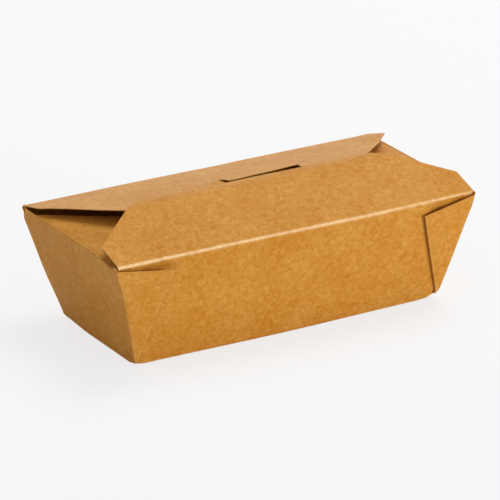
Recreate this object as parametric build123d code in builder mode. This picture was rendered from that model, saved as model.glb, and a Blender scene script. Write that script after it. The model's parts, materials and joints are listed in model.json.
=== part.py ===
from build123d import *
import os
from math import asin, atan, atan2, cos, degrees, radians, sin, sqrt, tan

# Folded kraft takeout carton, in millimetres. +X runs along its length, +Y points
# to the back and +Z up. The origin is in the middle of the base, on the table.

# Driving sizes of the tray, over its outer faces
rim_length = 220.0
rim_width = 110.0
base_length = 187.0
base_width = 81.0
tray_height = 63.0
card = 0.45

# Folds: radii over the outside of the card
base_fold_radius = 0.9
corner_fold_radius = 1.1
rim_fold_radius = 1.4
rim_fold_drop = 1.8
hinge_fold_radius = 1.2
ridge_radius = 30.0

# Lid: pitches of the two long flaps, in degrees, and what lies on what
front_pitch = 18.0
back_pitch = 12.5
lap_gap = 0.3
flap_end_inset = 1.5

# Front flap, the one that opens: plan distances from the front rim and past the ridge
front_side_reach = 18.0
front_shoulder_pass = 4.0
front_shoulder_inset = 37.5
hinge_gap = 0.3
hinge_curl = 150.0

# Back flap: plan distances from the back rim and from the ridge to its nose
back_side_reach = 19.0
back_nose_run = 9.0
back_nose_inset = 44.0

# Tab of the front flap and the cut tongue of the back flap that holds it
tab_center = 8.5
tab_width = 43.0
tab_drop = 11.0
tab_corner_radius = 4.0
tab_bend_radius = 1.2
slit_gap = 0.35
tongue_depth = 7.5
tongue_flare = 1.8
tongue_lift_angle = 7.0

# Dust flaps on the two short walls
dust_pitch = 1.0
dust_reach = 39.0
dust_root_width = 75.0
dust_nose_width = 18.0

# Gusset ears: two plies of card folded flat outside the long walls
ear_rim_drop = 5.5
ear_corner_drop = 2.6
ear_lift = 3.2
ear_foot = 1.6
ear_ply_gap = 0.12
ear_seam = 1.2
ear_seam_foot = 5.0
ear_fold_round = 0.4

overrun = 5.0
rim_lap = 1.0
rim_end_inset = 2.0

half_length = rim_length / 2
half_width = rim_width / 2
long_wall_run = (rim_width - base_width) / 2
end_wall_run = (rim_length - base_length) / 2
long_lean = atan(long_wall_run / tray_height)
end_lean = atan(end_wall_run / tray_height)


def slope_meet(start, start_pitch, end, end_pitch):
    """Where a line rising from start towards +Y meets one rising from end towards -Y."""
    rise = end[1] - start[1] + end[0] * tan(end_pitch) + start[0] * tan(start_pitch)
    y = rise / (tan(start_pitch) + tan(end_pitch))
    return (y, start[1] + (y - start[0]) * tan(start_pitch))


def fold_center(corner, normal_a, normal_b, radius):
    """Centre of a round fold inside a corner, tangent to the lines of both normals."""
    return Vector(*corner) - (normal_a + normal_b) * (radius / (1 + normal_a.dot(normal_b)))


def direction(angle):
    """Unit vector at an angle in degrees from the first axis."""
    return Vector(cos(radians(angle)), sin(radians(angle)))


def wall_half(base_size, run, height):
    """Half the outer size of the tray at a height."""
    return base_size / 2 + run * height / tray_height


# Side view of the lid: top lines of the front flap and, a lap below it, of the back flap
lap_drop = card + lap_gap
wall_angle = 180 + degrees(long_lean)
front_angle = 90 + front_pitch
back_angle = 90 - back_pitch
front_peak = slope_meet(
    (-half_width, tray_height), radians(front_pitch),
    (half_width, tray_height + lap_drop / cos(radians(back_pitch))), radians(back_pitch),
)
back_peak = slope_meet(
    (-half_width, tray_height - lap_drop / cos(radians(front_pitch))), radians(front_pitch),
    (half_width, tray_height), radians(back_pitch),
)
hinge_center = fold_center(
    (-half_width, tray_height), direction(wall_angle), direction(front_angle), hinge_fold_radius
)
ridge_center = fold_center(
    front_peak, direction(front_angle), direction(back_angle), ridge_radius
)

# The front flap ends at its shoulders; its tab bends down there and follows a circle
# about the hinge, so that it leaves the slit without touching
shoulder_y = front_peak[0] + front_shoulder_pass
shoulder_angle = 90 - degrees(asin((shoulder_y - ridge_center.X) / ridge_radius))
shoulder = ridge_center + direction(shoulder_angle) * ridge_radius
bend_center = shoulder - direction(shoulder_angle) * tab_bend_radius
bend_arm = bend_center - hinge_center
tab_radius = bend_arm.length + tab_bend_radius
tab_angle = degrees(atan2(bend_arm.Y, bend_arm.X))
tab_sweep = degrees(tab_drop / tab_radius)

# The slit lets the tab through with a gap on both faces
slit_front_y = shoulder_y - slit_gap
slit_height = shoulder.Y - lap_drop - card - hinge_center.Y
tongue_edge_y = hinge_center.X + sqrt((tab_radius + slit_gap) ** 2 - slit_height**2)
tongue_root_y = tongue_edge_y + tongue_depth
slit_half = tab_width / 2 + slit_gap
root_half = slit_half + tongue_flare

# Heights at which the rim folds leave the walls, and at which the hinged wall ends
wall_top = tray_height - rim_fold_drop
strip_foot = wall_top - rim_lap
long_wall_foot = wall_half(base_width, long_wall_run, strip_foot)
end_wall_foot = wall_half(base_length, end_wall_run, strip_foot)
front_wall_top = hinge_center.Y - hinge_fold_radius - hinge_gap


# Open tray: a flared hull with rounded folds, hollowed to the thickness of the card
with BuildPart() as tray:
    with BuildSketch(Plane.YZ):
        with BuildLine():
            Polyline(
                (-base_width / 2, 0),
                (base_width / 2, 0),
                (wall_half(base_width, long_wall_run, wall_top), wall_top),
                (-wall_half(base_width, long_wall_run, wall_top), wall_top),
                close=True,
            )
        make_face()
    extrude(amount=rim_length, both=True)
    with BuildSketch(Plane.XZ):
        with BuildLine():
            Polyline(
                (-base_length / 2, 0),
                (base_length / 2, 0),
                (wall_half(base_length, end_wall_run, wall_top), wall_top),
                (-wall_half(base_length, end_wall_run, wall_top), wall_top),
                close=True,
            )
        make_face()
    extrude(amount=rim_width, both=True, mode=Mode.INTERSECT)
    floor_edges = tray.edges().group_by(Axis.Z)[0]
    rim_edges = tray.edges().group_by(Axis.Z)[-1]
    fillet(tray.edges() - floor_edges - rim_edges, corner_fold_radius)
    fillet(tray.faces().sort_by(Axis.Z)[0].edges(), base_fold_radius)
    offset(amount=-card, openings=tray.faces().sort_by(Axis.Z)[-1])
    # The front wall ends level below the round fold of the flap that hinges there
    with BuildSketch(Plane.YZ):
        with Locations((hinge_center.X + hinge_fold_radius + hinge_gap, front_wall_top)):
            Rectangle(rim_width / 2, tray_height, align=(Align.MAX, Align.MIN))
    extrude(amount=half_length, both=True, mode=Mode.SUBTRACT)

# Back wall's rim fold, the back flap over the ridge and its nose under the front flap
nose_y = back_peak[0] - back_nose_run
nose_z = back_peak[1] - (back_peak[0] - nose_y) * tan(radians(front_pitch))
with BuildPart() as back_strip:
    with BuildSketch(Plane.YZ):
        with BuildLine():
            FilletPolyline(
                (long_wall_foot, strip_foot),
                (half_width, tray_height),
                back_peak,
                (nose_y, nose_z),
                radius=[rim_fold_radius, ridge_radius - lap_drop],
            )
            offset(amount=card, side=Side.LEFT)
        make_face()
    extrude(amount=half_length, both=True)
    with BuildSketch(Plane.XY):
        with BuildLine():
            Polyline(
                (-half_length + flap_end_inset, half_width + overrun),
                (-half_length + flap_end_inset, half_width - back_side_reach),
                (-half_length + back_nose_inset, nose_y),
                (half_length - back_nose_inset, nose_y),
                (half_length - flap_end_inset, half_width - back_side_reach),
                (half_length - flap_end_inset, half_width + overrun),
                close=True,
            )
        make_face()
    extrude(amount=tray_height * 2, mode=Mode.INTERSECT)

# Tongue cut free in the back flap: its front cut is the slit for the tab, and its two
# side cuts let it bend up a little over the tab
with BuildPart() as tongue:
    add(back_strip.part)
    with BuildSketch(Plane.XY):
        with BuildLine():
            Polyline(
                (tab_center - slit_half + slit_gap, tongue_edge_y),
                (tab_center + slit_half - slit_gap, tongue_edge_y),
                (tab_center + root_half - slit_gap, tongue_root_y),
                (tab_center - root_half + slit_gap, tongue_root_y),
                close=True,
            )
        make_face()
    extrude(amount=tray_height * 2, mode=Mode.INTERSECT)
root_face = tongue.part.faces().sort_by(Axis.Y)[-1]
tongue_hinge = root_face.edges().filter_by(Axis.X).sort_by(Axis.Z)[0].center()
raised_tongue = tongue.part.rotate(Axis(tongue_hinge, (1, 0, 0)), -tongue_lift_angle)

with BuildPart() as back_flap:
    add(back_strip.part)
    with BuildSketch(Plane.XY):
        with BuildLine():
            Polyline(
                (tab_center - slit_half, slit_front_y),
                (tab_center + slit_half, slit_front_y),
                (tab_center + root_half, tongue_root_y),
                (tab_center - root_half, tongue_root_y),
                close=True,
            )
        make_face()
    extrude(amount=tray_height * 2, mode=Mode.SUBTRACT)
    add(raised_tongue)

# Rim of one short wall, standing plain at both sides of its dust flap
with BuildPart() as end_rim:
    with BuildSketch(Plane.XZ):
        with BuildLine():
            Polyline((end_wall_foot, strip_foot), (half_length, tray_height))
            offset(amount=card, side=Side.LEFT)
        make_face()
    extrude(amount=half_width - rim_end_inset, both=True)
    with BuildSketch(Plane.XY):
        Rectangle(rim_length * 2, dust_root_width)
    extrude(amount=tray_height * 2, mode=Mode.SUBTRACT)

# Dust flap, folded in over the food from that rim and cut to a trapezoid
dust_rise = dust_reach * tan(radians(dust_pitch))
with BuildPart() as dust_flap:
    with BuildSketch(Plane.XZ):
        with BuildLine():
            FilletPolyline(
                (end_wall_foot, strip_foot),
                (half_length, tray_height),
                (half_length - dust_reach, tray_height + dust_rise),
                radius=rim_fold_radius,
            )
            offset(amount=card, side=Side.LEFT)
        make_face()
    extrude(amount=dust_root_width / 2, both=True)
    with BuildSketch(Plane.XY):
        with BuildLine():
            Polyline(
                (half_length + overrun, -dust_root_width / 2),
                (half_length - rim_fold_radius, -dust_root_width / 2),
                (half_length - dust_reach, -dust_nose_width / 2),
                (half_length - dust_reach, dust_nose_width / 2),
                (half_length - rim_fold_radius, dust_root_width / 2),
                (half_length + overrun, dust_root_width / 2),
                close=True,
            )
        make_face()
    extrude(amount=tray_height * 2, mode=Mode.INTERSECT)

# Gusset ear at one corner: the web between two walls is folded in half and lies
# against the outside of the long wall, springing off it at its free tip
long_slant = sqrt(tray_height**2 + long_wall_run**2)
end_slant = sqrt(tray_height**2 + end_wall_run**2)
web_angle = 90 - degrees(atan(end_wall_run / long_slant)) - degrees(atan(long_wall_run / end_slant))
ear_lean = radians(web_angle / 2) - atan(end_wall_run / long_slant)
base_corner = Vector(base_length / 2, -base_width / 2, 0)
up_wall = Vector(0, -long_wall_run, tray_height).normalized()
up_corner = Vector(end_wall_run, -long_wall_run, tray_height).normalized()
up_fold = Vector(-sin(ear_lean), 0, 0) + up_wall * cos(ear_lean)
off_wall = Vector(0, -tray_height, -long_wall_run).normalized()
corner_slant = (tray_height - ear_corner_drop) / up_corner.Z
fold_slant = (tray_height - ear_rim_drop) / up_fold.Z
ear_tip = base_corner + up_fold * fold_slant + off_wall * ear_lift
# The root line of the ear lies in the card of the corner, so the web is one with both walls
ear_root = base_corner + Vector(-card, card, 0)
ear_top = ear_root + up_corner * corner_slant
ear_normal = (ear_top - ear_root).cross(ear_tip - ear_root).normalized()
if ear_normal.dot(off_wall) < 0:
    ear_normal = ear_normal * -1
ear_plane = Plane(origin=ear_root, x_dir=up_corner, z_dir=ear_normal)


def on_ear(point):
    """A point of the ear's inner face, in the two axes of its plane."""
    local = ear_plane.to_local_coords(point)
    return (local.X, local.Y)


foot_share = ear_foot / ear_top.Z
ear_foot_corner = ear_root + (ear_top - ear_root) * foot_share
ear_foot_fold = ear_root + (ear_tip - ear_root) * foot_share
seam_run = (ear_tip - ear_top).normalized() * ear_seam
seam_rise = (ear_top + ear_tip) / 2 - ear_root
seam_foot = ear_root + seam_rise.normalized() * ear_seam_foot
seam_over = seam_rise.normalized() * overrun
with BuildPart() as ear:
    with BuildSketch(ear_plane):
        with BuildLine():
            Polyline(
                on_ear(ear_foot_corner), on_ear(ear_top), on_ear(ear_tip), on_ear(ear_foot_fold),
                close=True,
            )
        make_face()
    extrude(amount=card * 2)
    fold_edges = ear.edges().filter_by(Axis(ear_tip, ear_tip - ear_root))
    fillet(fold_edges, ear_fold_round)
    # The two plies part at the open top and stay joined at the fold and at the corner
    with BuildSketch(ear_plane.offset(card - ear_ply_gap / 2)):
        with BuildLine():
            Polyline(
                on_ear(seam_foot),
                on_ear(ear_top + seam_run + seam_over),
                on_ear(ear_tip - seam_run + seam_over),
                close=True,
            )
        make_face()
    extrude(amount=ear_ply_gap, mode=Mode.SUBTRACT)

with BuildPart() as carton:
    add(tray.part)
    add(back_flap.part)
    add(end_rim.part)
    add(dust_flap.part)
    mirror(end_rim.part, about=Plane.YZ)
    mirror(dust_flap.part, about=Plane.YZ)
    add(ear.part)
    mirror(ear.part, about=Plane.YZ)
    mirror(ear.part, about=Plane.XZ)
    add(ear.part.mirror(Plane.YZ).mirror(Plane.XZ))

# Front flap with its tab: one strip from the round fold, up the slope and over the ridge
with BuildPart() as front_flap:
    with BuildSketch(Plane.YZ):
        with BuildLine():
            fold = CenterArc(hinge_center, hinge_fold_radius, front_angle + hinge_curl, -hinge_curl)
            ridge = CenterArc(ridge_center, ridge_radius, front_angle, shoulder_angle - front_angle)
            Line(fold @ 1, ridge @ 0)
            offset(amount=card, side=Side.RIGHT)
        make_face()
    extrude(amount=half_length, both=True)
    with BuildSketch(Plane.XY):
        with BuildLine():
            Polyline(
                (-half_length + flap_end_inset, -half_width - overrun),
                (half_length - flap_end_inset, -half_width - overrun),
                (half_length - flap_end_inset, front_side_reach - half_width),
                (half_length - front_shoulder_inset, shoulder_y + card),
                (-half_length + front_shoulder_inset, shoulder_y + card),
                (-half_length + flap_end_inset, front_side_reach - half_width),
                close=True,
            )
        make_face()
    extrude(amount=tray_height * 2, mode=Mode.INTERSECT)

with BuildPart() as tab:
    with BuildSketch(Plane.YZ.offset(tab_center)):
        with BuildLine():
            CenterArc(ridge_center, ridge_radius, front_angle, shoulder_angle - front_angle)
            CenterArc(bend_center, tab_bend_radius, shoulder_angle, tab_angle - shoulder_angle)
            CenterArc(hinge_center, tab_radius, tab_angle, -tab_sweep)
            offset(amount=card, side=Side.RIGHT)
        make_face()
    extrude(amount=tab_width / 2, both=True)
    tab_end = tab.faces().sort_by(Axis.Z)[0]
    fillet(tab_end.edges().filter_by(Axis.X, reverse=True), tab_corner_radius)

with BuildPart() as lid_flap:
    add(front_flap.part)
    add(tab.part)

os.makedirs("parts", exist_ok=True)
carton.part.label = "carton"
export_step(carton.part, "parts/carton.step")
lid_flap.part.label = "front_flap"
export_step(lid_flap.part, "parts/front_flap.step")
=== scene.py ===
import bmesh
import bpy
import json
from math import asin, atan, atan2, cos, pi, radians, sin, tan
from mathutils import Matrix, Vector


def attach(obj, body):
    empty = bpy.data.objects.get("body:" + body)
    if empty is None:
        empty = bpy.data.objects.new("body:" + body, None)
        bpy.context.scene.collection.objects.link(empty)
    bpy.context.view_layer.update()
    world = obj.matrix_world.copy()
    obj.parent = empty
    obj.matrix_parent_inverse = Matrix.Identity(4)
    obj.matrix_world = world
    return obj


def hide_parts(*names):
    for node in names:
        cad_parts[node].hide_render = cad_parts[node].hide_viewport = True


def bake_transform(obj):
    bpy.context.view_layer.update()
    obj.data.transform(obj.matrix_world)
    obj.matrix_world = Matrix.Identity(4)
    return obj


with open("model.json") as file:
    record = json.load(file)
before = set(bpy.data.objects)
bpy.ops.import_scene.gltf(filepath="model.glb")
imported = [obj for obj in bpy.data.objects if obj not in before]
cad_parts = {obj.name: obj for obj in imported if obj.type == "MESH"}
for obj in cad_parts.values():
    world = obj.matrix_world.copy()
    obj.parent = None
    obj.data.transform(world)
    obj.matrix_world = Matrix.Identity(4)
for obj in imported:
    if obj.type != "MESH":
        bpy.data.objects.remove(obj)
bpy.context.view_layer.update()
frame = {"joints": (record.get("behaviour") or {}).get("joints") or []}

print("frame loaded")

# The carton, in metres, as the frame has it: X along its length, Y to the back, Z up
carton = {
    "rimLength": 0.220,
    "rimWidth": 0.110,
    "baseLength": 0.187,
    "baseWidth": 0.081,
    "height": 0.063,
    "card": 0.00040,
    "ring": 0.0010,        # height of the base fold that the floor sheet carries
    "sliceStep": 0.003,    # spacing of the cuts that let a sheet bend
    "wallInset": 0.0006,   # the long walls stop this far from the end walls
    "capInset": 0.0008,    # the lid flaps stop this far from the rim's ends
    "lap": 0.00075,        # the back flap lies this far under the front flap
    "frontPitch": radians(18.0),
    "backPitch": radians(12.5),
    "ridgeRadius": 0.030,
}
halfRim = Vector((carton["rimLength"] / 2, carton["rimWidth"] / 2, carton["height"]))
halfBase = Vector((carton["baseLength"] / 2, carton["baseWidth"] / 2, 0))
endRun = halfRim.x - halfBase.x
longRun = halfRim.y - halfBase.y
longLean = atan(longRun / carton["height"])
endLean = atan(endRun / carton["height"])
alongX = Vector((1, 0, 0))
alongY = Vector((0, 1, 0))
alongZ = Vector((0, 0, 1))
tiny = 0.00002
fourCorners = ((-1, -1), (1, -1), (1, 1), (-1, 1))  # front left first, then round


# Side view helpers: angles run from +Y towards +Z
def sideways(angle):
    return Vector((0, cos(angle), sin(angle)))


def halfLength(z):
    return halfBase.x + endRun * z / carton["height"]


def halfWidth(z):
    return halfBase.y + longRun * z / carton["height"]


# Where the two lid slopes meet; front and back are heights over the two rims
def slopesMeet(front, back):
    rise = back - front + halfRim.y * (tan(carton["backPitch"]) - tan(carton["frontPitch"]))
    y = rise / (tan(carton["frontPitch"]) + tan(carton["backPitch"]))
    return Vector((0, y, halfRim.z + front + (y + halfRim.y) * tan(carton["frontPitch"])))


# Centre of a round fold between two faces that would meet at a corner
def foldCentre(corner, angleA, angleB, radius):
    a, b = sideways(angleA), sideways(angleB)
    return corner - (a + b) * radius / (1 + a.dot(b))


frontSlope = pi / 2 + carton["frontPitch"]  # outward normals in the side view
backSlope = pi / 2 - carton["backPitch"]
frontWall = pi + longLean
backWall = -longLean


# Edit mode helpers: everything is picked by its place
def startSheet(name):
    bpy.ops.object.select_all(action="DESELECT")
    bpy.ops.mesh.primitive_plane_add(size=1)
    sheet = bpy.context.object
    sheet.name = name
    sheet.data.name = name
    bpy.ops.object.mode_set(mode="EDIT")
    return sheet


# Selects what passes the test with all its points, or with its middle
def pick(kind, test, whole=True):
    bpy.ops.mesh.select_mode(type=kind)
    bpy.ops.mesh.select_all(action="DESELECT")
    net = bmesh.from_edit_mesh(bpy.context.object.data)
    parts = {"VERT": net.verts, "EDGE": net.edges, "FACE": net.faces}[kind]
    found = 0
    for part in parts:
        points = [part.co] if kind == "VERT" else [corner.co for corner in part.verts]
        if not whole:
            points = [sum(points, Vector()) / len(points)]
        if all(test(point) for point in points):
            part.select_set(True)
            found += 1
    bmesh.update_edit_mesh(bpy.context.object.data)
    return found


def everything(point):
    return True


# Selects open edges that pass the test
def pickRim(test):
    bpy.ops.mesh.select_mode(type="EDGE")
    bpy.ops.mesh.select_all(action="DESELECT")
    net = bmesh.from_edit_mesh(bpy.context.object.data)
    for edge in net.edges:
        if len(edge.link_faces) == 1 and all(test(corner.co) for corner in edge.verts):
            edge.select_set(True)
    bmesh.update_edit_mesh(bpy.context.object.data)


# Moves the point at one place to another
def slide(start, goal):
    pick("VERT", lambda point: (point - start).length < tiny)
    bpy.ops.transform.translate(value=goal - start)


# Extends the sheet from the selected edges
def grow(move):
    bpy.ops.mesh.extrude_edges_move(TRANSFORM_OT_translate={"value": move})


# Rolls the selected edges round an axis; spin itself turns the other way
def wrap(centre, axis, angle, steps):
    bpy.ops.mesh.spin(steps=steps, angle=-angle, center=centre, axis=axis, use_auto_merge=False)


# Parallel cuts through the faces that pass the test
def slices(test, direction, start, stop, step):
    count = max(1, round((stop - start) / step))
    for index in range(count + 1):
        cut(test, direction * (start + (stop - start) * index / count), direction)


def cut(test, place, normal):
    if pick("FACE", test, whole=False):
        bpy.ops.mesh.bisect(plane_co=place, plane_no=normal, threshold=tiny / 4)


# Cuts and takes away what lies on the normal's side
def trim(test, place, normal):
    cut(test, place, normal)
    pick("FACE", lambda point: test(point) and (point - place).dot(normal) > 0, whole=False)
    bpy.ops.mesh.delete(type="FACE")


# Soft push: the point nearest to a place moves all the way, its neighbours less
def press(place, move, reach, connected=True):
    bpy.ops.mesh.select_mode(type="VERT")
    bpy.ops.mesh.select_all(action="DESELECT")
    net = bmesh.from_edit_mesh(bpy.context.object.data)
    min(net.verts, key=lambda point: (point.co - place).length).select_set(True)
    bmesh.update_edit_mesh(bpy.context.object.data)
    bpy.ops.transform.translate(value=move, use_proportional_edit=True,
                                proportional_size=reach, proportional_edit_falloff="SMOOTH",
                                use_proportional_connected=connected)


# Puts the four corners of the first plane at their places
def layQuad(corners):
    for (x, y), corner in zip(fourCorners, corners):
        slide(Vector((x / 2, y / 2, 0)), corner)


# Kraft board: unbleached fibres in soft blotches, a few dark specks, folds lighter from rubbing and
# with a painted highlight along them
kraftLook = {
    "dark": (0.525, 0.190, 0.002, 1),
    "light": (0.690, 0.333, 0.060, 1),
    "speck": (0.230, 0.085, 0.012, 1),
    # colour of folds lighter from rubbing, which also serves as their painted highlight
    "rubbedAndHighlight": (0.960, 0.660, 0.340, 1),
    "cutDark": (0.470, 0.200, 0.025, 1),
    "cutLight": (0.680, 0.370, 0.085, 1),
    "blotches": 320.0,      # these five are patterns per metre
    "clouds": 42.0,
    "grain": 1300.0,
    "curls": 320.0,
    "specks": 330.0,
    "toneShares": (0.60, 0.18, 0.22),     # of blotches, clouds and grain
    "toneRange": (0.38, 0.62),
    "grainStretch": (1.0, 0.50, 0.45),
    "lightCurls": ((0.0, 0.0, 0.0), (0.46, 0.58)),     # offset, and where in the blotches
    "darkCurls": ((0.31, 0.17, 0.23), (0.54, 0.42)),
    "curlWidth": 0.022,     # share of the noise's range that is a line
    "curlTone": 0.24,
    "curlRelief": 0.12,
    "speckEdge": (0.20, 0.07),            # from outside to inside, as shares of a cell
    "speckShare": 0.10,
    "speckStrength": 0.6,
    "rubAndHighlightLeast": 0.50,       # the folds' rubbing and painted highlight are patchy, down to this share
    "cardRoughness": 0.66,
    "cutRoughness": 0.80,
    "roughSpread": 0.08,
    "relief": 0.00006,
    "reliefStrength": 0.55,
    "specular": 0.24,
    "sheen": 0.06,
    "sheenRoughness": 0.35,
}


def addNode(tree, kind, inputs=None, **settings):
    node = tree.nodes.new(kind)
    for name, value in settings.items():
        setattr(node, name, value)
    for name, value in (inputs or {}).items():
        if isinstance(value, bpy.types.NodeSocket):
            tree.links.new(value, node.inputs[name])
        else:
            node.inputs[name].default_value = value
    return node


# Thin lines where a noise crosses its middle, faded in over a share of the blotches
def fibreLines(group, place, blotches, offset, share):
    shifted = addNode(group, "ShaderNodeMapping", {"Vector": place, "Location": offset})
    noise = addNode(group, "ShaderNodeTexNoise", {
        "Vector": shifted.outputs[0], "Scale": kraftLook["curls"], "Detail": 1.5,
        "Distortion": 1.6})
    middle = addNode(group, "ShaderNodeMath", {0: noise.outputs[0], 1: 0.5}, operation="SUBTRACT")
    away = addNode(group, "ShaderNodeMath", {0: middle.outputs[0]}, operation="ABSOLUTE")
    line = addNode(group, "ShaderNodeMapRange", {
        "Value": away.outputs[0], "From Max": kraftLook["curlWidth"], "To Min": 1.0, "To Max": 0.0})
    part = addNode(group, "ShaderNodeMapRange", {
        "Value": blotches, "From Min": share[0], "From Max": share[1]})
    shown = addNode(group, "ShaderNodeMath", {
        0: line.outputs[0], 1: part.outputs[0]}, operation="MULTIPLY")
    return shown.outputs[0]


def makeFibreGroup():
    group = bpy.data.node_groups.new("kraftFibres", "ShaderNodeTree")
    sockets = (("Blotches", "INPUT", 320.0), ("Speck Share", "INPUT", 0.1),
               ("Tone", "OUTPUT", 0.5), ("Specks", "OUTPUT", 0.0), ("Fibres", "OUTPUT", 0.5))
    for name, way, value in sockets:
        socket = group.interface.new_socket(name=name, in_out=way, socket_type="NodeSocketFloat")
        socket.default_value = value
    given = addNode(group, "NodeGroupInput")
    place = addNode(group, "ShaderNodeTexCoord").outputs["Object"]

    # Blotches, wide clouds and a fine grain that runs up the walls and over the lid
    blotches = addNode(group, "ShaderNodeTexNoise", {
        "Vector": place, "Scale": given.outputs["Blotches"], "Detail": 6.0,
        "Roughness": 0.68, "Distortion": 0.9})
    clouds = addNode(group, "ShaderNodeTexNoise", {
        "Vector": place, "Scale": kraftLook["clouds"], "Detail": 2.0})
    stretched = addNode(group, "ShaderNodeMapping", {
        "Vector": place, "Scale": kraftLook["grainStretch"]})
    grain = addNode(group, "ShaderNodeTexNoise", {
        "Vector": stretched.outputs[0], "Scale": kraftLook["grain"], "Detail": 3.0,
        "Roughness": 0.7})

    # Curled fibres, light ones on the light blotches and dark ones on the dark
    light = fibreLines(group, place, blotches.outputs[0], *kraftLook["lightCurls"])
    dark = fibreLines(group, place, blotches.outputs[0], *kraftLook["darkCurls"])
    curls = addNode(group, "ShaderNodeMath", {0: light, 1: dark}, operation="SUBTRACT")

    # Tone: the shares of the three add up to 1, and the curls lie on top
    shares = kraftLook["toneShares"]
    first = addNode(group, "ShaderNodeMath", {
        0: blotches.outputs[0], 1: shares[0]}, operation="MULTIPLY")
    second = addNode(group, "ShaderNodeMath", {
        0: clouds.outputs[0], 1: shares[1], 2: first.outputs[0]}, operation="MULTIPLY_ADD")
    third = addNode(group, "ShaderNodeMath", {
        0: grain.outputs[0], 1: shares[2], 2: second.outputs[0]}, operation="MULTIPLY_ADD")
    spread = addNode(group, "ShaderNodeMapRange", {
        "Value": third.outputs[0], "From Min": kraftLook["toneRange"][0],
        "From Max": kraftLook["toneRange"][1]})
    tone = addNode(group, "ShaderNodeMath", {
        0: curls.outputs[0], 1: kraftLook["curlTone"], 2: spread.outputs[0]},
        operation="MULTIPLY_ADD", use_clamp=True)
    fibres = addNode(group, "ShaderNodeMath", {
        0: curls.outputs[0], 1: kraftLook["curlRelief"], 2: grain.outputs[0]},
        operation="MULTIPLY_ADD")

    # Specks: small round spots in a few cells only
    cells = addNode(group, "ShaderNodeTexVoronoi", {
        "Vector": place, "Scale": kraftLook["specks"], "Randomness": 1.0})
    spot = addNode(group, "ShaderNodeMapRange", {
        "Value": cells.outputs["Distance"], "From Min": kraftLook["speckEdge"][0],
        "From Max": kraftLook["speckEdge"][1]})
    luck = addNode(group, "ShaderNodeSeparateColor", {"Color": cells.outputs["Color"]})
    chosen = addNode(group, "ShaderNodeMath", {
        0: luck.outputs[0], 1: given.outputs["Speck Share"]}, operation="LESS_THAN")
    specks = addNode(group, "ShaderNodeMath", {
        0: spot.outputs[0], 1: chosen.outputs[0]}, operation="MULTIPLY")
    addNode(group, "NodeGroupOutput", {
        "Tone": tone.outputs[0], "Specks": specks.outputs[0], "Fibres": fibres.outputs[0]})
    return group


def mixColours(tree, share, first, second):
    mix = addNode(tree, "ShaderNodeMix", data_type="RGBA")
    for index, value in ((0, share), (6, first), (7, second)):
        if isinstance(value, bpy.types.NodeSocket):
            tree.links.new(value, mix.inputs[index])
        else:
            mix.inputs[index].default_value = value
    return mix.outputs[2]


# Kraft board in two tones; the face of the card also has folds made lighter by rubbing and by a
# painted highlight
def makeKraft(name, group, dark, light, roughness, wornAndHighlit):
    kraft = bpy.data.materials.new(name)
    kraft.use_nodes = True
    tree = kraft.node_tree
    surface = tree.nodes["Principled BSDF"]
    fibres = addNode(tree, "ShaderNodeGroup", node_tree=group)
    fibres.inputs["Blotches"].default_value = kraftLook["blotches"]
    fibres.inputs["Speck Share"].default_value = kraftLook["speckShare"]
    colour = mixColours(tree, fibres.outputs["Tone"], dark, light)
    specks = addNode(tree, "ShaderNodeMath", {
        0: fibres.outputs["Specks"], 1: kraftLook["speckStrength"]}, operation="MULTIPLY")
    colour = mixColours(tree, specks.outputs[0], colour, kraftLook["speck"])
    # Folds lighter from rubbing, which also paints their highlight into the colour
    if wornAndHighlit:
        wearAndHighlight = addNode(tree, "ShaderNodeAttribute", attribute_name="foldWearAndHighlight")
        patchy = addNode(tree, "ShaderNodeMapRange", {
            "Value": fibres.outputs["Tone"], "To Min": kraftLook["rubAndHighlightLeast"], "To Max": 1.0})
        rubAndHighlight = addNode(tree, "ShaderNodeMath", {
            0: wearAndHighlight.outputs["Fac"], 1: patchy.outputs[0]}, operation="MULTIPLY")
        colour = mixColours(tree, rubAndHighlight.outputs[0], colour, kraftLook["rubbedAndHighlight"])
    tree.links.new(colour, surface.inputs["Base Color"])
    rough = addNode(tree, "ShaderNodeMapRange", {
        "Value": fibres.outputs["Fibres"], "From Min": 0.3, "From Max": 0.7,
        "To Min": roughness - kraftLook["roughSpread"],
        "To Max": roughness + kraftLook["roughSpread"]})
    tree.links.new(rough.outputs[0], surface.inputs["Roughness"])
    relief = addNode(tree, "ShaderNodeBump", {
        "Strength": kraftLook["reliefStrength"], "Distance": kraftLook["relief"],
        "Height": fibres.outputs["Fibres"]})
    tree.links.new(relief.outputs[0], surface.inputs["Normal"])
    surface.inputs["Specular IOR Level"].default_value = kraftLook["specular"]
    surface.inputs["Sheen Weight"].default_value = kraftLook["sheen"]
    surface.inputs["Sheen Roughness"].default_value = kraftLook["sheenRoughness"]
    return kraft


fibreGroup = makeFibreGroup()
kraftCard = makeKraft("kraftCard", fibreGroup, kraftLook["dark"], kraftLook["light"],
                      kraftLook["cardRoughness"], True)
kraftCutEdge = makeKraft("kraftCutEdge", fibreGroup, kraftLook["cutDark"], kraftLook["cutLight"],
                         kraftLook["cutRoughness"], False)
print("kraft materials made")

# Card finish: soft dents, then the thickness behind the outer face
cardFinish = {
    "dentSize": 0.045,
    "smoothAngle": radians(34),
}
unevenness = bpy.data.textures.new("unevenness", "CLOUDS")
unevenness.noise_scale = cardFinish["dentSize"]
unevenness.noise_depth = 1


# Turns the whole sheet so that the face nearest to a place looks along a normal
def faceOutward(sheet, place, normal):
    bpy.ops.object.mode_set(mode="EDIT")
    bpy.ops.mesh.select_mode(type="FACE")
    bpy.ops.mesh.select_all(action="SELECT")
    bpy.ops.mesh.remove_doubles(threshold=tiny)
    bpy.ops.mesh.normals_make_consistent(inside=False)
    bpy.ops.object.mode_set(mode="OBJECT")
    nearest = min(sheet.data.polygons, key=lambda face: (face.center - place).length)
    if nearest.normal.dot(normal) < 0:
        bpy.ops.object.mode_set(mode="EDIT")
        bpy.ops.mesh.select_all(action="SELECT")
        bpy.ops.mesh.flip_normals()
        bpy.ops.object.mode_set(mode="OBJECT")
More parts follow.
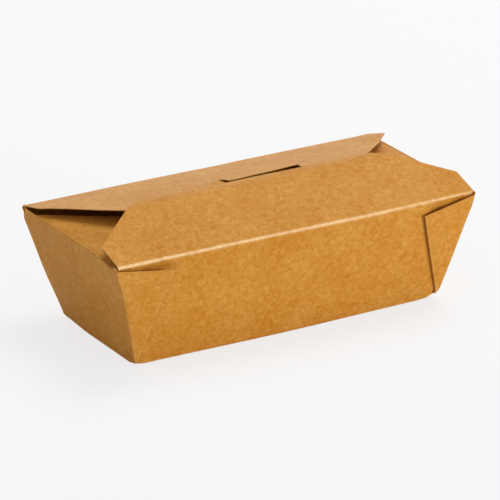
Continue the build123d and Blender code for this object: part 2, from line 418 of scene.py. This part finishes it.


# Stores how near each point lies to a fold, for the rubbing and painted highlight: the fold's own
# amount on it, 0 at its reach
def markFolds(sheet, folds):
    wearAndHighlight = sheet.data.attributes.new("foldWearAndHighlight", "FLOAT", "POINT")
    for index, point in enumerate(sheet.data.vertices):
        wearAndHighlight.data[index].value = max(
            amount * max(0.0, 1 - distanceTo(point.co, start, end) / reach)
            for start, end, reach, amount in folds
        )


def distanceTo(point, start, end):
    run = end - start
    share = max(0.0, min(1.0, (point - start).dot(run) / run.dot(run)))
    return (start + run * share - point).length


def thicken(sheet, dent):
    sheet.data.materials.append(kraftCard)
    sheet.data.materials.append(kraftCutEdge)
    bpy.ops.object.select_all(action="DESELECT")
    sheet.select_set(True)
    bpy.context.view_layer.objects.active = sheet
    if dent:
        bump = sheet.modifiers.new("dents", "DISPLACE")
        bump.texture = unevenness
        bump.texture_coords = "LOCAL"
        bump.strength = dent
        bump.mid_level = 0.5
        bpy.ops.object.modifier_apply(modifier=bump.name)
    body = sheet.modifiers.new("thickness", "SOLIDIFY")
    body.thickness = carton["card"]
    body.offset = -1
    body.use_rim = True
    body.material_offset_rim = 1
    bpy.ops.object.modifier_apply(modifier=body.name)
    bpy.ops.object.shade_smooth_by_angle(angle=cardFinish["smoothAngle"])


# Wear of the base: it bows out at the middle of the front wall and its corners are worn
baseWear = {
    "bow": 0.0014,
    "bowReach": 0.088,
    "nearness": 0.003,  # a sheet with no point this near to a corner isn't worn there
    "corners": (        # which corner, its move and the reach of it
        ((1, -1), (0, 0, 0.0006), 0.016),
        ((1, -1), (-0.0012, 0.0006, 0.0012), 0.005),
        ((-1, -1), (0.0006, 0.0006, 0.0007), 0.005),
        ((-1, 1), (0.0010, -0.0008, 0.0004), 0.030),
    ),
}


def bowBase():
    press(alongY * -halfBase.y, alongY * -baseWear["bow"], baseWear["bowReach"], connected=False)


def wearBase():
    net = bmesh.from_edit_mesh(bpy.context.object.data)
    points = [point.co.copy() for point in net.verts]
    for (x, y), move, reach in baseWear["corners"]:
        corner = Vector((x * halfBase.x, y * halfBase.y, 0))
        if min((point - corner).length for point in points) < baseWear["nearness"]:
            press(corner, Vector(move), reach, connected=False)


# Floor with the round folds at its four sides
floorBase = {
    "foldOffset": 0.0006,
    "foldSteps": 4,
    "sliceStep": 0.006,
    "foldWearAndHighlight": (0.0014, 0.5),  # reach and amount of the rubbing and painted highlight
}


def buildFloor():
    sheet = startSheet("floorSheet")
    corners = [Vector((x * halfBase.x, y * halfBase.y, 0)) for x, y in fourCorners]
    layQuad(corners)
    pick("EDGE", everything)
    grow(alongZ * carton["ring"])
    for x, y in fourCorners:
        start = Vector((x * halfBase.x, y * halfBase.y, carton["ring"]))
        slide(start, Vector((x * halfLength(start.z), y * halfWidth(start.z), start.z)))
    pick("EDGE", lambda point: point.z < tiny)
    bpy.ops.mesh.bevel(offset=floorBase["foldOffset"], segments=floorBase["foldSteps"],
                       affect="EDGES", profile=0.5)
    slices(everything, alongX, -halfBase.x, halfBase.x, floorBase["sliceStep"])
    slices(everything, alongY, -halfBase.y, halfBase.y, floorBase["sliceStep"])
    bowBase()
    wearBase()
    bpy.ops.object.mode_set(mode="OBJECT")
    faceOutward(sheet, Vector((0, 0, 0)), -alongZ)
    markFolds(sheet, [(corners[index - 1], corners[index], *floorBase["foldWearAndHighlight"])
                      for index in range(4)])
    return sheet


# Front wall, round crease, front flap and its tab are one sheet that bends at the crease
frontLid = {
    "foldRadius": 0.0012,
    "foldSteps": 10,
    "sideReach": 0.018,
    "shoulderPass": 0.004,
    "shoulderInset": 0.0375,
    "ridgeSteps": 6,
    "tabCentre": 0.0085,
    "tabWidth": 0.043,
    "tabDrop": 0.011,
    "tabBend": 0.0012,
    "tabSteps": 5,
    "tabCornerCut": 0.002,
    "tabCornerSteps": 4,
    "creaseCuts": (0.0008, 0.0018),  # cuts close to the crease keep its fold crisp
    "bow": 0.0013,          # the crease bows out to the front
    "bowMiddle": 0.045,
    "bowReach": 0.070,
    "mark": -0.0825,        # a small knock at the crease
    "markMove": (0, 0.0003, 0.0002),
    "markReach": 0.0036,
    "creaseWearAndHighlight": (1.30, 1.35, 1.25, 0.95),  # rubbing and painted highlight on the crease, from the left end to the right
    "wearAndHighlightReach": 0.0013,
    "blendShare": 0.9,      # how much of the fold turns between the two bodies
    "presses": (            # x, drop below the crease, depth and reach of dents behind the ears
        (-0.1040, 0.0055, 0.0018, 0.008),
        (-0.0940, 0.0065, 0.0026, 0.009),
        (-0.0850, 0.0070, 0.0030, 0.009),
        (-0.0800, 0.0066, 0.0022, 0.005),
        (0.0860, 0.0080, 0.0018, 0.010),
        (0.0980, 0.0060, 0.0014, 0.009),
    ),
    "dent": 0.0005,
}
hinge = Vector(frame["joints"][0]["pos_m"])
frontPeak = slopesMeet(0, carton["lap"] / cos(carton["backPitch"]))
ridgeCentre = foldCentre(frontPeak, frontSlope, backSlope, carton["ridgeRadius"])
shoulderY = frontPeak.y + frontLid["shoulderPass"]
shoulderAngle = pi / 2 - asin((shoulderY - ridgeCentre.y) / carton["ridgeRadius"])
shoulder = ridgeCentre + sideways(shoulderAngle) * carton["ridgeRadius"]
bendCentre = shoulder - sideways(shoulderAngle) * frontLid["tabBend"]
bendArm = bendCentre - hinge
tabRadius = bendArm.length + frontLid["tabBend"]
tabAngle = atan2(bendArm.z, bendArm.y)
tabLeft = frontLid["tabCentre"] - frontLid["tabWidth"] / 2
tabRight = frontLid["tabCentre"] + frontLid["tabWidth"] / 2


def buildFrontPanel():
    sheet = startSheet("frontPanel")
    foot = Vector((0, -halfWidth(carton["ring"]), carton["ring"]))
    top = hinge + sideways(frontWall) * frontLid["foldRadius"]
    inset = carton["wallInset"]
    layQuad([
        Vector((-halfLength(foot.z) + inset, foot.y, foot.z)),
        Vector((halfLength(foot.z) - inset, foot.y, foot.z)),
        Vector((halfLength(top.z) - inset, top.y, top.z)),
        Vector((-halfLength(top.z) + inset, top.y, top.z)),
    ])
    end = halfRim.x - carton["capInset"]
    cut(everything, alongX * end, alongX)
    cut(everything, alongX * -end, alongX)
    pick("EDGE", lambda point: point.z > top.z - tiny and abs(point.x) < end + tiny)
    wrap(hinge, alongX, frontSlope - frontWall, frontLid["foldSteps"])
    ridgeStart = ridgeCentre + sideways(frontSlope) * carton["ridgeRadius"]
    grow(ridgeStart - (hinge + sideways(frontSlope) * frontLid["foldRadius"]))
    wrap(ridgeCentre, alongX, shoulderAngle - frontSlope, frontLid["ridgeSteps"])

    onFlap = lambda point: point.z > hinge.z + tiny
    onWall = lambda point: point.z < top.z
    for side in (-1, 1):
        sideCorner = Vector((side * end, frontLid["sideReach"] - halfRim.y, 0))
        shoulderCorner = Vector((side * (halfRim.x - frontLid["shoulderInset"]), shoulderY, 0))
        edge = shoulderCorner - sideCorner
        trim(onFlap, sideCorner, Vector((side * edge.y, -side * edge.x, 0)))

    for x in (tabLeft, tabRight):
        cut(onFlap, alongX * x, alongX)
    pickRim(lambda point: (abs(point.y - shoulderY) < tiny
                           and tabLeft - tiny < point.x < tabRight + tiny))
    wrap(bendCentre, alongX, tabAngle - shoulderAngle, frontLid["tabSteps"])
    wrap(hinge, alongX, -frontLid["tabDrop"] / tabRadius, frontLid["tabSteps"])
    tabEnd = hinge + sideways(tabAngle - frontLid["tabDrop"] / tabRadius) * tabRadius
    pick("VERT", lambda point: abs(point.z - tabEnd.z) < tiny and abs(point.y - tabEnd.y) < tiny)
    bpy.ops.mesh.bevel(offset=frontLid["tabCornerCut"], segments=frontLid["tabCornerSteps"],
                       affect="VERTICES")

    step = carton["sliceStep"]
    slices(everything, alongX, -halfRim.x + step / 2, halfRim.x - step / 2, step)
    slices(onWall, alongZ, foot.z + step, top.z - step / 2, step)
    along = sideways(frontSlope - pi / 2)
    slices(onFlap, along, along.dot(hinge) + step / 2, along.dot(ridgeStart), step)
    cut(onFlap, hinge + along * frontLid["creaseCuts"][0], along)
    for drop in frontLid["creaseCuts"]:
        cut(onWall, top - alongZ * drop, alongZ)

    # The ears press dents into the wall, the crease stays straight
    pick("VERT", lambda point: point.z > top.z - tiny)
    bpy.ops.mesh.hide()
    for x, drop, depth, reach in frontLid["presses"]:
        press(Vector((x, top.y, top.z - drop)), sideways(frontWall) * -depth, reach)
    bpy.ops.mesh.reveal(select=False)
    bpy.ops.object.mode_set(mode="OBJECT")
    faceOutward(sheet, Vector((0, (foot.y + top.y) / 2, top.z / 2)), sideways(frontWall))
    # The crease gets rubbing and a painted highlight, weaker at its right end
    crest = hinge + sideways((frontWall + frontSlope) / 2) * frontLid["foldRadius"]
    quarter = alongX * end / 2
    markFolds(sheet, [
        (crest + quarter * (part - 2), crest + quarter * (part - 1), frontLid["wearAndHighlightReach"], amount)
        for part, amount in enumerate(frontLid["creaseWearAndHighlight"])])
    bpy.ops.object.mode_set(mode="EDIT")
    bowBase()
    wearBase()
    press(Vector((frontLid["bowMiddle"], top.y, top.z)), alongY * -frontLid["bow"],
          frontLid["bowReach"])
    press(Vector((frontLid["mark"], top.y, top.z)), Vector(frontLid["markMove"]),
          frontLid["markReach"])
    bpy.ops.object.mode_set(mode="OBJECT")
    return sheet


# Back wall, rim fold and the back flap with its cut tongue
backLid = {
    "foldRadius": 0.0014,
    "sideReach": 0.019,
    "noseRun": 0.009,
    "noseInsetLeft": 0.044,
    "noseInsetRight": 0.050,
    "noseRise": 0.010,      # about how high the nose lies over the rim
    "sag": 0.0040,          # its left end hangs
    "sagReach": 0.075,
    "tipRise": 0.0016,      # the right tip stands up
    "tipReach": 0.020,
    "tipShort": 0.0010,
    "tipHeight": 0.004,     # about how high the tip lies over the rim
    "foldSteps": 10,
    "foldWearAndHighlight": (0.0017, 0.6),  # reach and amount of the rubbing and painted highlight
    "slitGap": 0.00045,
    "sideGap": 0.0009,
    "slitCard": 0.00045,    # thickness that places the slit, as in the solid
    "tongueDepth": 0.0075,
    "tongueFlare": 0.0018,
    "tongueCuts": 1.4,      # cuts round it reach this far, as a share of its half width
    "tongueLift": radians(11.0),
    "lipRise": 0.0008,      # the tongue's right corner stands up more
    "lipReach": 0.022,
    "rootRise": 0.0018,     # the flap bulges at the left end of the tongue's root
    "rootReach": 0.011,
    "dent": 0.0005,
}


def buildBackPanel():
    sheet = startSheet("backPanel")
    backPeak = slopesMeet(-carton["lap"] / cos(carton["frontPitch"]), 0)
    ridgeRadius = carton["ridgeRadius"] - carton["lap"]
    centre = foldCentre(backPeak, frontSlope, backSlope, ridgeRadius)
    rimCentre = foldCentre(Vector((0, halfRim.y, halfRim.z)), backWall, backSlope,
                           backLid["foldRadius"])
    foot = Vector((0, halfWidth(carton["ring"]), carton["ring"]))
    top = rimCentre + sideways(backWall) * backLid["foldRadius"]
    inset = carton["wallInset"]
    layQuad([
        Vector((-halfLength(foot.z) + inset, foot.y, foot.z)),
        Vector((halfLength(foot.z) - inset, foot.y, foot.z)),
        Vector((halfLength(top.z) - inset, top.y, top.z)),
        Vector((-halfLength(top.z) + inset, top.y, top.z)),
    ])
    end = halfRim.x - carton["capInset"]
    cut(everything, alongX * end, alongX)
    cut(everything, alongX * -end, alongX)
    pick("EDGE", lambda point: point.z > top.z - tiny and abs(point.x) < end + tiny)
    wrap(rimCentre, alongX, backSlope - backWall, backLid["foldSteps"])
    ridgeStart = centre + sideways(backSlope) * ridgeRadius
    grow(ridgeStart - (rimCentre + sideways(backSlope) * backLid["foldRadius"]))
    wrap(centre, alongX, frontSlope - backSlope, backLid["foldSteps"])
    noseY = backPeak.y - backLid["noseRun"]
    ridgeEnd = centre + sideways(frontSlope) * ridgeRadius
    grow(sideways(frontSlope + pi / 2) * (ridgeEnd.y - noseY) / cos(carton["frontPitch"]))

    onFlap = lambda point: point.z > rimCentre.z + tiny
    for side in (-1, 1):
        sideCorner = Vector((side * end, halfRim.y - backLid["sideReach"], 0))
        if side > 0:
            sideCorner.x -= backLid["tipShort"]
        noseInset = backLid["noseInsetRight"] if side > 0 else backLid["noseInsetLeft"]
        noseCorner = Vector((side * (halfRim.x - noseInset), noseY, 0))
        edge = noseCorner - sideCorner
        trim(onFlap, sideCorner, Vector((-side * edge.y, side * edge.x, 0)))

    step = carton["sliceStep"]
    slices(everything, alongX, -halfRim.x + step / 2, halfRim.x - step / 2, step)
    slices(lambda point: point.z < top.z, alongZ, foot.z + step, top.z - step / 2, step)
    along = sideways(backSlope + pi / 2)
    slices(lambda point: onFlap(point) and point.y > ridgeStart.y, along,
           along.dot(rimCentre) + step / 2, along.dot(ridgeStart), step)
    wearBase()

    # The tongue: a strip is cut out for the tab, and two side cuts free it
    gap = backLid["slitGap"]
    frontY = shoulderY - gap
    underLap = shoulder.z - carton["lap"] - backLid["slitCard"] - hinge.z
    edgeY = hinge.y + ((tabRadius + gap) ** 2 - underLap**2) ** 0.5
    rootY = edgeY + backLid["tongueDepth"]
    edgeHalf = frontLid["tabWidth"] / 2 + gap
    rootHalf = edgeHalf + backLid["tongueFlare"]
    middle = frontLid["tabCentre"]
    cutHalf = rootHalf * backLid["tongueCuts"]
    nearTongue = lambda point: onFlap(point) and abs(point.x - middle) < cutHalf
    for y in (frontY, edgeY, rootY, (edgeY + rootY) / 2):
        cut(nearTongue, alongY * y, alongY)
    for side in (-1, 1):
        edgeCorner = Vector((middle + side * edgeHalf, edgeY, 0))
        rootCorner = Vector((middle + side * rootHalf, rootY, 0))
        run = rootCorner - edgeCorner
        outside = Vector((run.y, -run.x, 0)).normalized() * side
        cut(nearTongue, edgeCorner, outside)
        sideGap = backLid["sideGap"]
        cut(nearTongue, edgeCorner + outside * sideGap, outside)
        beside = lambda point: (nearTongue(point) and edgeY - gap < point.y < rootY
                                and 0 < (point - edgeCorner).dot(outside) < sideGap)
        pick("FACE", beside, whole=False)
        bpy.ops.mesh.delete(type="FACE")
    inStrip = lambda point: (onFlap(point) and frontY < point.y < edgeY
                             and abs(point.x - middle) < edgeHalf)
    pick("FACE", inStrip, whole=False)
    bpy.ops.mesh.delete(type="FACE")
    slope = (rootHalf - edgeHalf) / backLid["tongueDepth"]
    inTongue = lambda point: (onFlap(point) and edgeY < point.y < rootY
                              and abs(point.x - middle) < edgeHalf + slope * (point.y - edgeY))
    pick("FACE", inTongue, whole=False)
    onRidge = lambda y: centre.z + (ridgeRadius**2 - (y - centre.y) ** 2) ** 0.5
    if rootY < ridgeStart.y:
        turn = Vector((0, rootY, onRidge(rootY)))
    else:
        turn = Vector((0, rootY, ridgeStart.z - (rootY - ridgeStart.y) * tan(carton["backPitch"])))
    bpy.ops.transform.rotate(value=backLid["tongueLift"], orient_axis="X", orient_type="GLOBAL",
                             center_override=turn)
    lift = Matrix.Rotation(-backLid["tongueLift"], 3, "X")
    lip = turn + lift @ (Vector((0, edgeY, onRidge(edgeY))) - turn)
    press(lip + alongX * (middle + edgeHalf), alongZ * backLid["lipRise"], backLid["lipReach"])
    press(turn + alongX * (middle - rootHalf), alongZ * backLid["rootRise"], backLid["rootReach"])
    press(Vector((-halfRim.x + backLid["noseInsetLeft"], noseY, halfRim.z + backLid["noseRise"])),
          alongZ * -backLid["sag"], backLid["sagReach"], connected=False)
    press(Vector((end, halfRim.y - backLid["sideReach"], halfRim.z + backLid["tipHeight"])),
          alongZ * backLid["tipRise"], backLid["tipReach"])
    bpy.ops.object.mode_set(mode="OBJECT")
    faceOutward(sheet, Vector((0, (foot.y + top.y) / 2, top.z / 2)), sideways(backWall))
    crest = rimCentre + sideways((backWall + backSlope) / 2) * backLid["foldRadius"]
    markFolds(sheet, [(crest - alongX * end, crest + alongX * end, *backLid["foldWearAndHighlight"])])
    return sheet


# End wall with its dust flap and the two gusset ears folded round to the long walls
endPanel = {
    "dustPitch": radians(1.0),
    "dustReach": 0.039,
    "dustRootNear": 0.0525,  # the root reaches further to one long wall than to the other,
    "dustRootFar": 0.0375,   # and the two ends are alike, turned half round
    "dustNose": 0.018,
    "groove": 0.0004,       # behind its fold
    "dip": 0.0036,          # the wide corner of the left dust flap hangs
    "dipInset": 0.006,
    "dipReach": 0.016,
    "foldRadius": 0.0010,
    "foldSteps": 10,
    "foldCut": 0.0008,      # cuts this far from the dust fold keep it crisp
    "stand": 0.0017,        # two plies lie outside the long wall at the rim
    "standFoot": 0.0013,
    "innerDrop": 0.0030,    # the hidden ply ends this much lower
    "innerTurn": 0.96,      # and stops short of the corner, as a share of its turn
    "innerFrom": 1.7,       # the plies are told apart by how deep they lie,
    "outerTo": 0.3,         # as shares of the ear fold's radius
    "softRoot": 0.0016,     # cuts beside the corner folds
    "softFold": 0.0009,     # and beside the ears' folds
    "smoothReach": 0.00192,
    "smoothSpan": (0.006, 0.055),  # heights between which the front left corner is soft
    "blunt": (0.0024, 0.0012),  # the rear corners at the rim are pushed in and forward
    "bluntReach": 0.008,
    "frontCorners": {       # by side: the move of the front corner at the rim and its reach
        -1: ((-0.0010, 0.0002, 0), 0.028),
        1: ((-0.0010, 0, 0), 0.008),
    },
    "earCornerDrop": 0.0016,
    "earTips": {            # by side: drop below the rim, shift along the wall, lift off it
        -1: (0.0060, -0.0016, 0.0026),
        1: (0.0075, 0.0011, 0.0016),
    },
    "earFoldRadius": 0.00055,
    "webSteps": 10,
    "earFoldSteps": 6,
    "innerSteps": 8,
    "foldWearAndHighlight": (0.0012, 0.05),  # reach and amount of the rubbing and painted highlight on each kind of fold
    "rootWearAndHighlight": (0.0016, 0.12),
    "earWearAndHighlight": (0.0010, 0.14),
    "dent": 0.0004,
}


def buildEndPanel(name, side):
    sheet = startSheet(name)
    foot = carton["ring"]
    rimY = halfRim.y + endPanel["stand"]
    footY = halfWidth(foot) + endPanel["standFoot"]
    layQuad([
        Vector((side * halfLength(foot), -footY, foot)),
        Vector((side * halfLength(foot), footY, foot)),
        Vector((side * halfRim.x, rimY, halfRim.z)),
        Vector((side * halfRim.x, -rimY, halfRim.z)),
    ])
    outward = Vector((side * cos(endLean), 0, -sin(endLean)))
    step = carton["sliceStep"]
    slices(everything, alongY, -halfRim.y + step, halfRim.y - step, step)
    slices(everything, alongZ, foot + step, halfRim.z - step / 2, step)

    # Dust flap
    near, far = endPanel["dustRootNear"], endPanel["dustRootFar"]
    low, high = (-near, far) if side < 0 else (-far, near)
    inRoot = lambda y: low - tiny < y < high + tiny
    for y in (low, high):
        cut(everything, alongY * y, alongY)
    radius = endPanel["foldRadius"]
    flapNormal = Vector((side * sin(endPanel["dustPitch"]), 0, cos(endPanel["dustPitch"])))
    corner = Vector((side * halfRim.x, 0, halfRim.z))
    foldMiddle = corner - (outward + flapNormal) * radius / (1 + outward.dot(flapNormal))
    tangent = foldMiddle + outward * radius
    trim(lambda point: inRoot(point.y), tangent, alongZ)
    cut(lambda point: inRoot(point.y), tangent - alongZ * endPanel["foldCut"], alongZ)
    pickRim(lambda point: abs(point.z - tangent.z) < tiny and inRoot(point.y))
    turn = outward.angle(flapNormal)
    wrap(foldMiddle, alongY, -side * turn, endPanel["foldSteps"])
    inward = Vector((-side * cos(endPanel["dustPitch"]), 0, sin(endPanel["dustPitch"])))
    start = foldMiddle + flapNormal * radius
    noseX = halfRim.x - endPanel["dustReach"]
    grow(inward * (abs(start.x) - noseX) / cos(endPanel["dustPitch"]))
    onFlap = lambda point: (point.z > halfRim.z - radius * 0.2
                            and abs(point.x) < abs(start.x) - tiny)
    for edgeSide, rootY in ((-1, low), (1, high)):
        rootCorner = Vector((start.x, rootY, 0))
        noseCorner = Vector((side * noseX, edgeSide * endPanel["dustNose"] / 2, 0))
        run = noseCorner - rootCorner
        trim(onFlap, rootCorner, Vector((run.y, -run.x, 0)) * side * edgeSide)
    slices(onFlap, alongX * side, noseX + step, abs(start.x) - step / 2, step)
    grooveX = abs(start.x) - endPanel["foldCut"]
    cut(onFlap, alongX * side * grooveX, alongX)
    pick("VERT", lambda point: (abs(abs(point.x) - grooveX) < tiny
                                and point.z > halfRim.z - radius / 2))
    bpy.ops.transform.translate(value=alongZ * -endPanel["groove"])

    # Ears: the web turns about the base corner, doubles back at its fold and returns
    crest = foldMiddle + (outward + flapNormal).normalized() * radius
    lines = [(Vector((crest.x, low, crest.z)), Vector((crest.x, high, crest.z)),
              *endPanel["foldWearAndHighlight"])]
    leanAngle = earLean()
    for ySide in (-1, 1):
        base = Vector((side * halfLength(foot), ySide * footY, foot))
        rimCorner = Vector((side * halfRim.x, ySide * rimY, halfRim.z))
        upWall = Vector((0, ySide * longRun, carton["height"])).normalized()
        offWall = Vector((0, ySide * carton["height"], -longRun)).normalized()
        root = (rimCorner - base).normalized()
        upFold = Vector((-side * sin(leanAngle), 0, 0)) + upWall * cos(leanAngle)
        drop, shift, lift = endPanel["earTips"][side]
        tipRise = carton["height"] - drop - foot
        tip = base + upFold * tipRise / upFold.z + offWall * lift + alongX * shift
        fold = (tip - base).normalized()
        normal = root.cross(fold).normalized()
        webAngle = root.angle(fold)
        pickRim(lambda point: (point - base).cross(root).length < tiny)
        wrap(base, normal, webAngle, endPanel["webSteps"])
        facing = normal if normal.dot(offWall) > 0 else -normal
        foldRadius = endPanel["earFoldRadius"]
        innerDepth = foldRadius * endPanel["innerFrom"]
        outerDepth = foldRadius * endPanel["outerTo"]
        pickRim(lambda point: (point - base).cross(fold).length < tiny)
        foldSide = fold if (Vector((-side, 0, 0))).dot(fold.cross(facing)) > 0 else -fold
        wrap(base - facing * foldRadius, foldSide, pi, endPanel["earFoldSteps"])
        innerBase = base - facing * foldRadius * 2
        pickRim(lambda point: (point - innerBase).cross(fold).length < tiny)
        wrap(innerBase, normal, -webAngle * endPanel["innerTurn"], endPanel["innerSteps"])
        rootRise = carton["height"] - endPanel["earCornerDrop"] - foot
        topCorner = base + root * rootRise / root.z
        topRun = (tip - topCorner).normalized()
        upward = topRun.cross(facing)
        if upward.z < 0:
            upward = -upward
        inEar = lambda point: ((point - base).dot(outward) < -tiny
                               and abs(point.y) > halfWidth(point.z) - carton["card"])
        trim(inEar, topCorner, upward)
        inner = lambda point: inEar(point) and (point - base).dot(facing) < -innerDepth
        trim(inner, topCorner - upward * endPanel["innerDrop"], upward)
        webSide = root.cross(facing)
        webSide = webSide if webSide.x * side < 0 else -webSide
        wallSide = root.cross(outward)
        wallSide = wallSide if wallSide.y * ySide < 0 else -wallSide
        soft = endPanel["softRoot"]
        outer = lambda point: inEar(point) and (point - base).dot(facing) > -outerDepth
        onWall = lambda point: (abs((point - base).dot(outward)) < tiny * 3
                                and point.z < tangent.z + tiny)
        cut(outer, base + webSide * soft, webSide)
        cut(onWall, base + wallSide * soft, wallSide)
        foldAside = fold.cross(facing)
        foldAside = foldAside if foldAside.x * side > 0 else -foldAside
        cut(outer, base + foldAside * endPanel["softFold"], foldAside)
        lines.append((base, topCorner, *endPanel["rootWearAndHighlight"]))
        lines.append((base, tip, *endPanel["earWearAndHighlight"]))
    bpy.ops.mesh.select_all(action="SELECT")
    bpy.ops.mesh.remove_doubles(threshold=tiny)

    # Wear: the front left corner is soft, and the corners are pushed in at the rim
    frontFoot = Vector((side * halfLength(foot), -footY, foot))
    frontRim = Vector((side * halfRim.x, -rimY, halfRim.z))
    rearRim = Vector((side * halfRim.x, rimY, halfRim.z))
    if side < 0:
        root = (frontRim - frontFoot).normalized()
        lowest, highest = endPanel["smoothSpan"]
        reach = endPanel["smoothReach"]
        pick("VERT", lambda point: ((point - frontFoot).cross(root).length < reach
                                    and lowest < point.z < highest))
        bpy.ops.mesh.vertices_smooth(factor=0.5, repeat=3)
    pushIn, pushForward = endPanel["blunt"]
    press(rearRim, Vector((-side * pushIn, -pushForward, 0)), endPanel["bluntReach"])
    move, cornerReach = endPanel["frontCorners"][side]
    press(frontRim, Vector(move), cornerReach)
    wearBase()

    # The wide corner of the left dust flap hangs, the walls stay
    if side < 0:
        wide = endPanel["dustRootNear"]
        inset = endPanel["dipInset"]
        pick("VERT", lambda point: point.z < tangent.z + tiny or abs(point.y) > wide + tiny)
        bpy.ops.mesh.hide()
        press(Vector((inset - halfRim.x, inset - wide, halfRim.z)), alongZ * -endPanel["dip"],
              endPanel["dipReach"])
        bpy.ops.mesh.reveal(select=False)
    bpy.ops.object.mode_set(mode="OBJECT")
    faceOutward(sheet, corner * 0.5 + Vector((side * halfBase.x, 0, 0)) * 0.5, outward)
    markFolds(sheet, lines)
    return sheet


# How far an ear's fold leans in from the wall's upright line, from the flare of both walls
def earLean():
    longSlant = (carton["height"] ** 2 + longRun**2) ** 0.5
    endSlant = (carton["height"] ** 2 + endRun**2) ** 0.5
    web = pi / 2 - atan(endRun / longSlant) - atan(longRun / endSlant)
    return web / 2 - atan(endRun / longSlant)


floorSheet = buildFloor()
print("floor built")
frontSheet = buildFrontPanel()
print("front panel built")
backSheet = buildBackPanel()
print("back panel built")
endSheets = [buildEndPanel("endPanelRight", 1), buildEndPanel("endPanelLeft", -1)]
print("end panels built")

thicken(floorSheet, 0.0)
thicken(frontSheet, frontLid["dent"])
thicken(backSheet, backLid["dent"])
for endSheet in endSheets:
    thicken(endSheet, endPanel["dent"])
print("card thickened")

# The front sheet keeps its place in the world, all others belong to the carton's body
for sheet in [floorSheet, backSheet] + endSheets:
    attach(sheet, "carton_body")
    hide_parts("carton")
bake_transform(frontSheet)
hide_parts("carton", "front_flap")
print("sheets joined to the bodies")

# Camera at the photograph's angle
view = {
    "azimuth": radians(-29.679),
    "elevation": radians(21.118),
    "roll": radians(-0.720),
    "distance": 2.2547,
    "aimRight": -0.00002,
    "aimUp": 0.03084,
    "lens": 298.2,
    "farClip": 20,
}
back = Vector((sin(view["azimuth"]) * cos(view["elevation"]),
               -cos(view["azimuth"]) * cos(view["elevation"]), sin(view["elevation"])))
level = Vector((cos(view["azimuth"]), sin(view["azimuth"]), 0))
upright = back.cross(level)
right = cos(view["roll"]) * level + sin(view["roll"]) * upright
up = cos(view["roll"]) * upright - sin(view["roll"]) * level
place = back * view["distance"] + right * view["aimRight"] + up * view["aimUp"]
bpy.ops.object.camera_add(location=place)
camera = bpy.context.object
camera.data.lens = view["lens"]
camera.data.clip_end = view["farClip"]
camera.rotation_euler = Matrix((right, up, back)).transposed().to_euler()
bpy.context.scene.camera = camera
print("camera placed")

# The floor looks nearly white to the camera and keeps a part of the soft shadow
studio = {
    "floorSize": 8,
    "floorDrop": 0.0001,
    "floorColour": (0.80, 0.80, 0.80, 1),
    "floorGlow": 0.75,
    "worldLight": 0.465,
    # lamp: name, place, size and power
    "key": ("keyBox", (1.05, -1.85, 0.25), (0.9, 0.4), 21.5),
    "top": ("topBox", (0.90, 0.35, 1.85), (1.1, 1.1), 20.2),
    "rim": ("rimBox", (0.95, 2.05, 0.45), (0.9, 0.5), 7),
    "fill": ("fillBox", (-1.75, 0.10, 0.85), (0.9, 0.5), 1.4),
}
bpy.ops.mesh.primitive_plane_add(size=studio["floorSize"], location=(0, 0, -studio["floorDrop"]))
ground = bpy.context.object
ground.name = "ground"
white = bpy.data.materials.new("groundWhite")
white.use_nodes = True
tree = white.node_tree
surface = tree.nodes["Principled BSDF"]
surface.inputs["Base Color"].default_value = studio["floorColour"]
surface.inputs["Roughness"].default_value = 1
rays = addNode(tree, "ShaderNodeLightPath")
glowShare = addNode(tree, "ShaderNodeMath", {
    0: rays.outputs["Is Camera Ray"], 1: studio["floorGlow"]}, operation="MULTIPLY")
glow = addNode(tree, "ShaderNodeEmission", {"Color": (1, 1, 1, 1), "Strength": 1.0})
both = addNode(tree, "ShaderNodeMixShader", {
    0: glowShare.outputs[0], 1: surface.outputs[0], 2: glow.outputs[0]})
tree.links.new(both.outputs[0], tree.nodes["Material Output"].inputs["Surface"])
ground.data.materials.append(white)

# The camera sees a white world, the carton a plainer one
bpy.context.scene.view_settings.view_transform = "Standard"
world = bpy.data.worlds.new("studio")
bpy.context.scene.world = world
world.use_nodes = True
tree = world.node_tree
sky = tree.nodes["Background"]
sky.inputs["Color"].default_value = (1, 1, 1, 1)
rays = addNode(tree, "ShaderNodeLightPath")
skyLight = addNode(tree, "ShaderNodeMapRange", {
    "Value": rays.outputs["Is Camera Ray"], "To Min": studio["worldLight"], "To Max": 1.0})
tree.links.new(skyLight.outputs[0], sky.inputs["Strength"])


def softbox(name, place, size, power):
    bpy.ops.object.light_add(type="AREA", location=place)
    lamp = bpy.context.object
    lamp.name = name
    lamp.data.shape = "RECTANGLE"
    lamp.data.size, lamp.data.size_y = size
    lamp.data.energy = power
    lamp.rotation_euler = Vector(place).to_track_quat("Z", "Y").to_euler()


for lampName in ("key", "top", "rim", "fill"):
    softbox(*studio[lampName])
print("studio lit")
